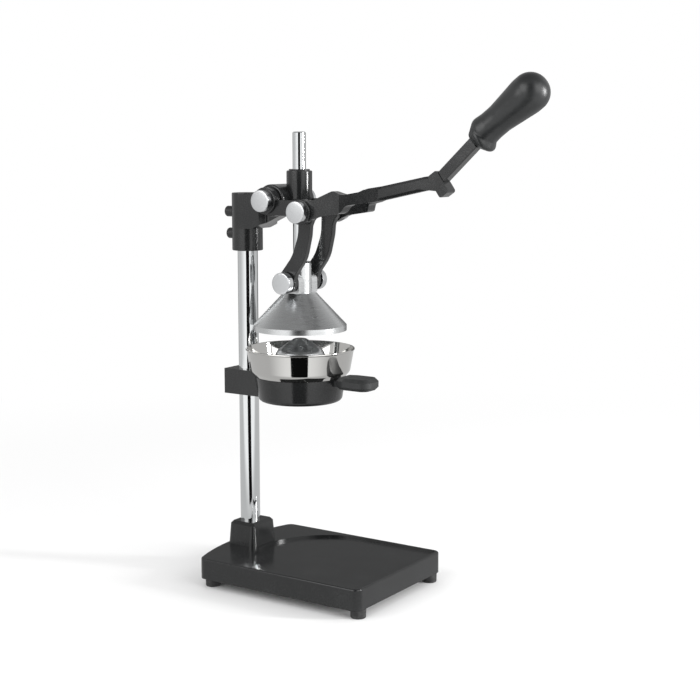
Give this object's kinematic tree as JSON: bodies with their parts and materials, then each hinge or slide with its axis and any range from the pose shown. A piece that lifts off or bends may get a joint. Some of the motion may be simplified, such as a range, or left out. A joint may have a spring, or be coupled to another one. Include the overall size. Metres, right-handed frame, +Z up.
{
  "type": "lever citrus press",
  "caption": "Upright lever press: a forked lever and two curved links push a cone down into a cup held on a post above a cast base.",
  "frame": {"origin": "on the floor, under the middle of the whole press at rest", "axes": "+Z up; +X forward, to the side that the lever reaches over; +Y to the left"},
  "size_m": [0.4414, 0.19, 0.6166],
  "materials": {
    "cast_enamel": "glossy black enamel on cast iron",
    "black_rubber": "matte black rubber",
    "zinc_steel": "zinc plated steel",
    "chrome": "polished chrome",
    "satin_steel": "spun satin stainless steel",
    "mirror_steel": "mirror polished stainless steel",
    "bronze": "sintered bronze",
    "black_plastic": "matte black moulded plastic",
    "black_screw": "black oxide steel"
  },
  "bodies": {
    "stand": {"base_casting": "cast_enamel", "foot_front_left": "black_rubber", "foot_front_right": "black_rubber", "foot_rear_left": "black_rubber", "foot_rear_right": "black_rubber", "foot_screws": "zinc_steel", "post": "chrome", "post_bolt": "zinc_steel", "post_washer": "zinc_steel", "head_casting": "cast_enamel", "collar_screw_upper": "black_screw", "collar_screw_lower": "black_screw", "guide_bush": "bronze", "cup_holder": "cast_enamel", "holder_screw": "black_screw", "cup": "mirror_steel", "cup_handle": "black_plastic", "cup_handle_screw": "zinc_steel", "strainer": "satin_steel"},
    "lever": {"lever_casting": "cast_enamel", "handle_shank": "chrome", "grip": "black_plastic", "fulcrum_pin": "zinc_steel", "fulcrum_cap_left": "chrome", "fulcrum_cap_right": "chrome", "fulcrum_washer_left": "zinc_steel", "fulcrum_washer_right": "zinc_steel", "link_pin_left": "zinc_steel", "link_pin_right": "zinc_steel", "link_cap_left": "chrome", "link_cap_right": "chrome", "link_washer_left": "zinc_steel", "link_washer_right": "zinc_steel"},
    "links": {"link_left": "cast_enamel", "link_right": "cast_enamel"},
    "press": {"guide_rod": "chrome", "cone_hub": "chrome", "press_cone": "satin_steel", "cone_screw": "zinc_steel", "saddle_pin": "zinc_steel", "saddle_cap_left": "chrome", "saddle_cap_right": "chrome"}
  },
  "joints": [
    {"name": "lever_turn", "type": "hinge", "parent": "stand", "child": "lever", "pos_m": [-0.1297, 0, 0.4729], "axis": [0, 1, 0], "range_deg": [-12, 40]},
    {"name": "link_turn", "type": "hinge", "parent": "lever", "child": "links", "pos_m": [-0.0782, 0, 0.4608], "axis": [0, 1, 0], "range_deg": [-51, 15.5]},
    {"name": "press_slide", "type": "slide", "parent": "stand", "child": "press", "axis": [0, 0, -1], "range_m": [-0.011, 0.0366]}
  ],
  "couplings": [
    {"joint": "link_turn", "follows": "lever_turn", "ratio": -1.27},
    {"joint": "press_slide", "follows": "lever_turn", "m_per_rad": 0.052}
  ]
}
